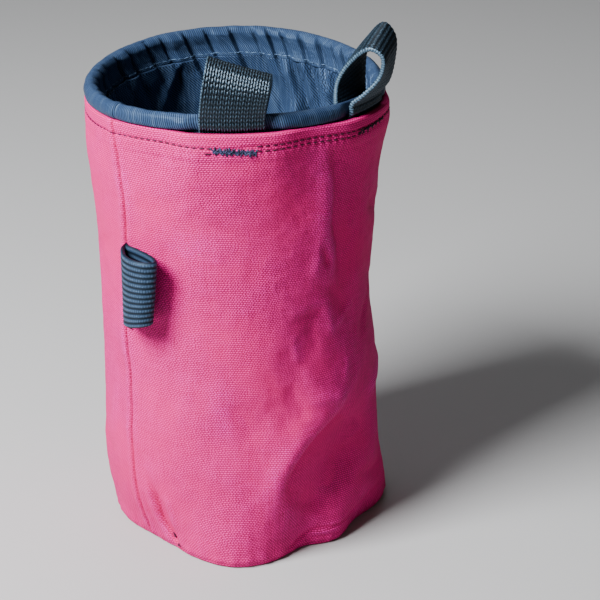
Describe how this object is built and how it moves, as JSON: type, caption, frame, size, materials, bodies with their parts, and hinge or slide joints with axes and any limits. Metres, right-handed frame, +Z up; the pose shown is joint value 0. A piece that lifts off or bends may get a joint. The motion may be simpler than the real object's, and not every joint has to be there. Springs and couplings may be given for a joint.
{
  "type": "chalk bag",
  "caption": "Soft cylindrical chalk bag of waxed canvas with a stiffened round rim, gathered nylon facing and lining, webbing belt loops and an elastic brush loop.",
  "frame": {"origin": "on the floor under the middle of the base", "axes": "+Z up through the open mouth, -Y towards the side with the front belt loop, +X to the right seen from there"},
  "size_m": [0.1234, 0.1232, 0.2174],
  "materials": {
    "waxed_canvas": "matt plain weave with dry wax",
    "nylon_twill": "smooth twill with a soft sheen",
    "webbing": "ribbed narrow weave",
    "elastic": "ribbed elastic weave"
  },
  "bodies": {
    "root": {"canvas_body": "waxed_canvas", "base_panel": "waxed_canvas", "rim_facing": "nylon_twill", "lining": "nylon_twill", "belt_loop_front": "webbing", "belt_loop_side": "webbing", "brush_loop": "elastic"}
  },
  "joints": []
}
